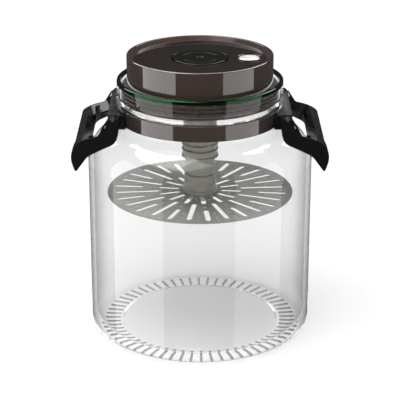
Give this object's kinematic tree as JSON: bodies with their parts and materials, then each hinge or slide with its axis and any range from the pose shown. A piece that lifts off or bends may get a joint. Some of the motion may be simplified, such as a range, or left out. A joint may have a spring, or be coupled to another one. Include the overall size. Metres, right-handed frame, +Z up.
{
  "type": "pickle keeper",
  "caption": "Glass pickle keeper with a smoky plug-in lid, swinging side handles and a perforated strainer on a telescopic stem under a flush lift knob.",
  "frame": {"origin": "centre of the base, on the face that the jar stands on", "axes": "+Z up along the jar's axis; -Y towards the viewer's front; the two side handles at +X and -X; the vent button towards +X"},
  "size_m": [0.167, 0.15, 0.1915],
  "materials": {
    "clear_glass": "clear polished glass, green tint at the cut rim",
    "smoky_plastic": "translucent smoky brown plastic, glossy",
    "black_plastic": "glossy black moulded plastic",
    "bright_steel": "fine brushed steel",
    "smoky_silicone": "soft smoky silicone, satin",
    "stem_grey": "satin grey",
    "dark_trim": "satin black trim",
    "silver_button": "satin silver",
    "strainer_grey": "satin grey flexible plastic"
  },
  "bodies": {
    "jar": {"glass_jar": "clear_glass", "collar_front": "smoky_plastic", "collar_rear": "smoky_plastic", "right_bracket": "black_plastic", "left_bracket": "black_plastic", "bracket_screws": "bright_steel", "right_pivot_pins": "bright_steel", "left_pivot_pins": "bright_steel"},
    "right_side_handle": {"right_handle": "black_plastic"},
    "left_side_handle": {"left_handle": "black_plastic"},
    "lid": {"lid_cup": "smoky_plastic", "lid_base": "smoky_plastic", "sleeve_gasket": "smoky_silicone", "seat_gasket": "smoky_silicone", "guide_bush": "stem_grey", "rod_seal": "smoky_silicone", "vent_bezel": "dark_trim", "vent_housing": "dark_trim", "vent_spring": "bright_steel"},
    "vent_button": {"button_cap": "silver_button", "vent_stem": "stem_grey", "vent_seal": "smoky_silicone"},
    "lift_knob": {"knob_cap": "dark_trim", "knob_inlay": "black_plastic", "lift_rod": "bright_steel", "stem_cap": "stem_grey", "outer_tube": "stem_grey"},
    "stem_middle": {"middle_tube": "stem_grey"},
    "strainer": {"inner_tube": "stem_grey", "strainer_sleeve": "stem_grey", "strainer_disc": "strainer_grey", "strainer_nut": "stem_grey"}
  },
  "joints": [
    {"name": "lid_lift", "type": "slide", "parent": "jar", "child": "lid", "axis": [0, 0, 1], "range_m": [0, 0.02]},
    {"name": "knob_lift", "type": "slide", "parent": "lid", "child": "lift_knob", "axis": [0, 0, 1], "range_m": [0, 0.009]},
    {"name": "vent_press", "type": "slide", "parent": "lid", "child": "vent_button", "axis": [0, 0, -1], "range_m": [0, 0.002], "stiffness_N_per_m": 400, "deforming": ["vent_spring"]},
    {"name": "strainer_drop", "type": "slide", "parent": "lift_knob", "child": "strainer", "axis": [0, 0, -1], "range_m": [0, 0.084]},
    {"name": "stem_extend", "type": "slide", "parent": "lift_knob", "child": "stem_middle", "axis": [0, 0, -1], "range_m": [0, 0.042]},
    {"name": "right_handle_swing", "type": "hinge", "parent": "jar", "child": "right_side_handle", "pos_m": [0.0566, 0, 0.1525], "axis": [0, -1, 0], "range_deg": [0, 100]},
    {"name": "left_handle_swing", "type": "hinge", "parent": "jar", "child": "left_side_handle", "pos_m": [-0.0566, 0, 0.1525], "axis": [0, 1, 0], "range_deg": [0, 100]}
  ],
  "couplings": [
    {"joint": "stem_extend", "follows": "strainer_drop", "ratio": 0.5}
  ]
}
